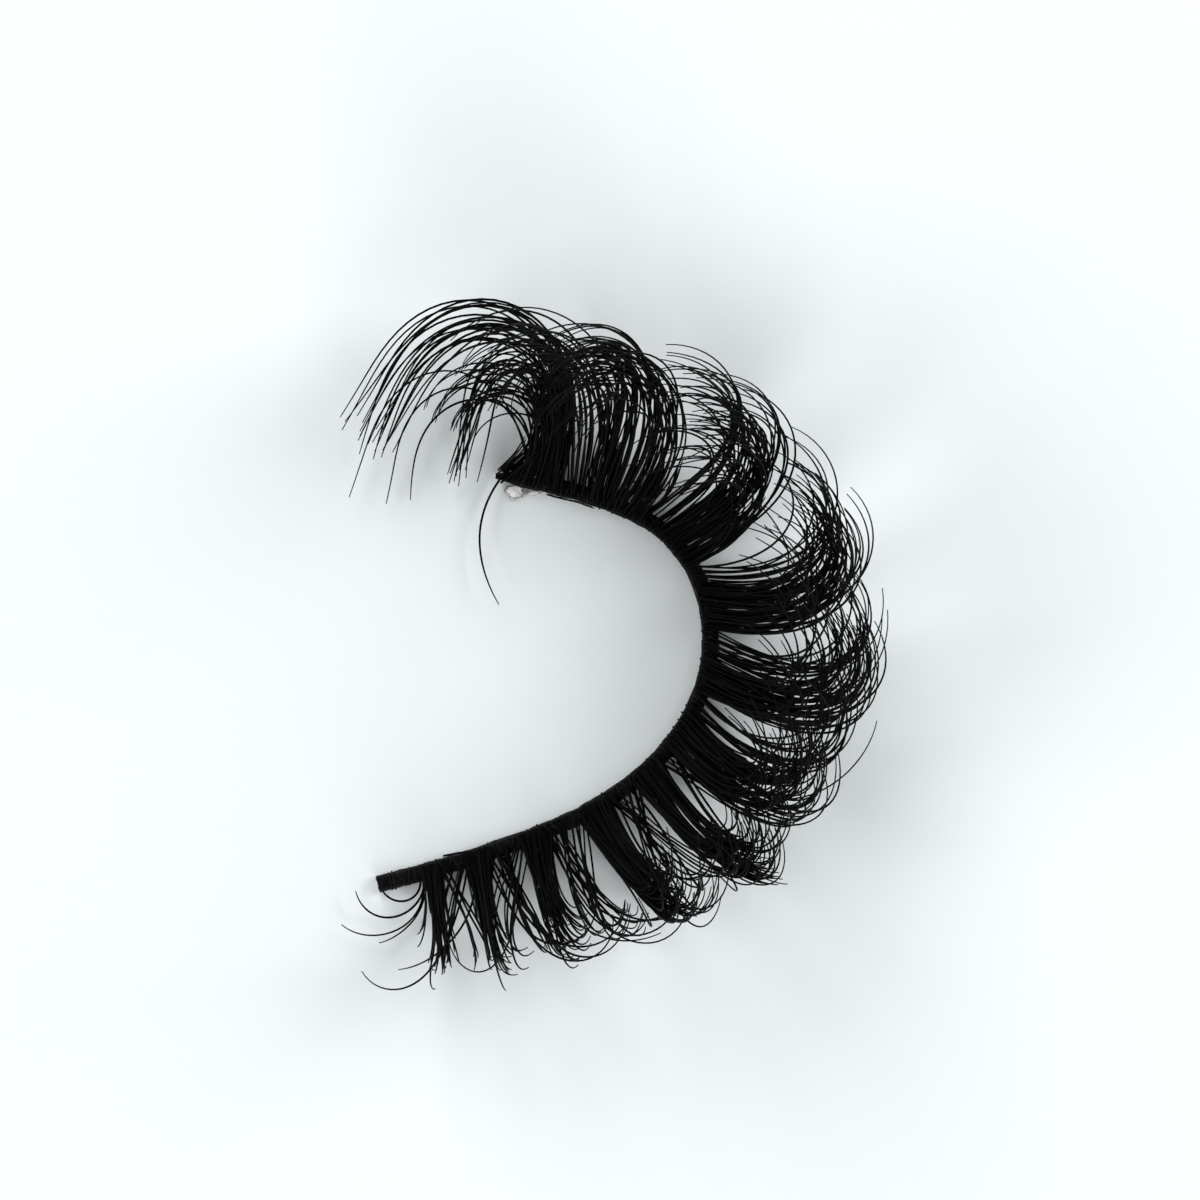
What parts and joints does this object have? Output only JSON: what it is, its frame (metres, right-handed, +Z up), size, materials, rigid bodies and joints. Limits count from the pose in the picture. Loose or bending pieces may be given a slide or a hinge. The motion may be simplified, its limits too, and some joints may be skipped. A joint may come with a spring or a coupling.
{
  "type": "false eyelash strip",
  "caption": "Black false eyelash strip: a thin curved thread band with a row of dense hair clusters that sweep outward, curl up and lengthen toward the outer corner.",
  "frame": {"origin": "on the underside of the thread band, at the middle of its length and width", "axes": "+Z up, away from the surface that the band lies on; the C of the band opens toward -X; the outer corner of the eye is toward +Y and the inner corner toward -Y"},
  "size_m": [0.0243, 0.0298, 0.0085],
  "materials": {
    "band_thread": "twisted black cotton thread, slightly glossy where adhesive soaked in",
    "lash_fibre": "deep black tapered synthetic fibre with a soft sheen"
  },
  "bodies": {
    "root": {"lash_band": "band_thread", "lash_cluster_01": "lash_fibre", "lash_cluster_02": "lash_fibre", "lash_cluster_03": "lash_fibre", "lash_cluster_04": "lash_fibre", "lash_cluster_05": "lash_fibre", "lash_cluster_06": "lash_fibre", "lash_cluster_07": "lash_fibre", "lash_cluster_08": "lash_fibre", "lash_cluster_09": "lash_fibre", "lash_cluster_10": "lash_fibre", "lash_cluster_11": "lash_fibre"}
  },
  "joints": []
}
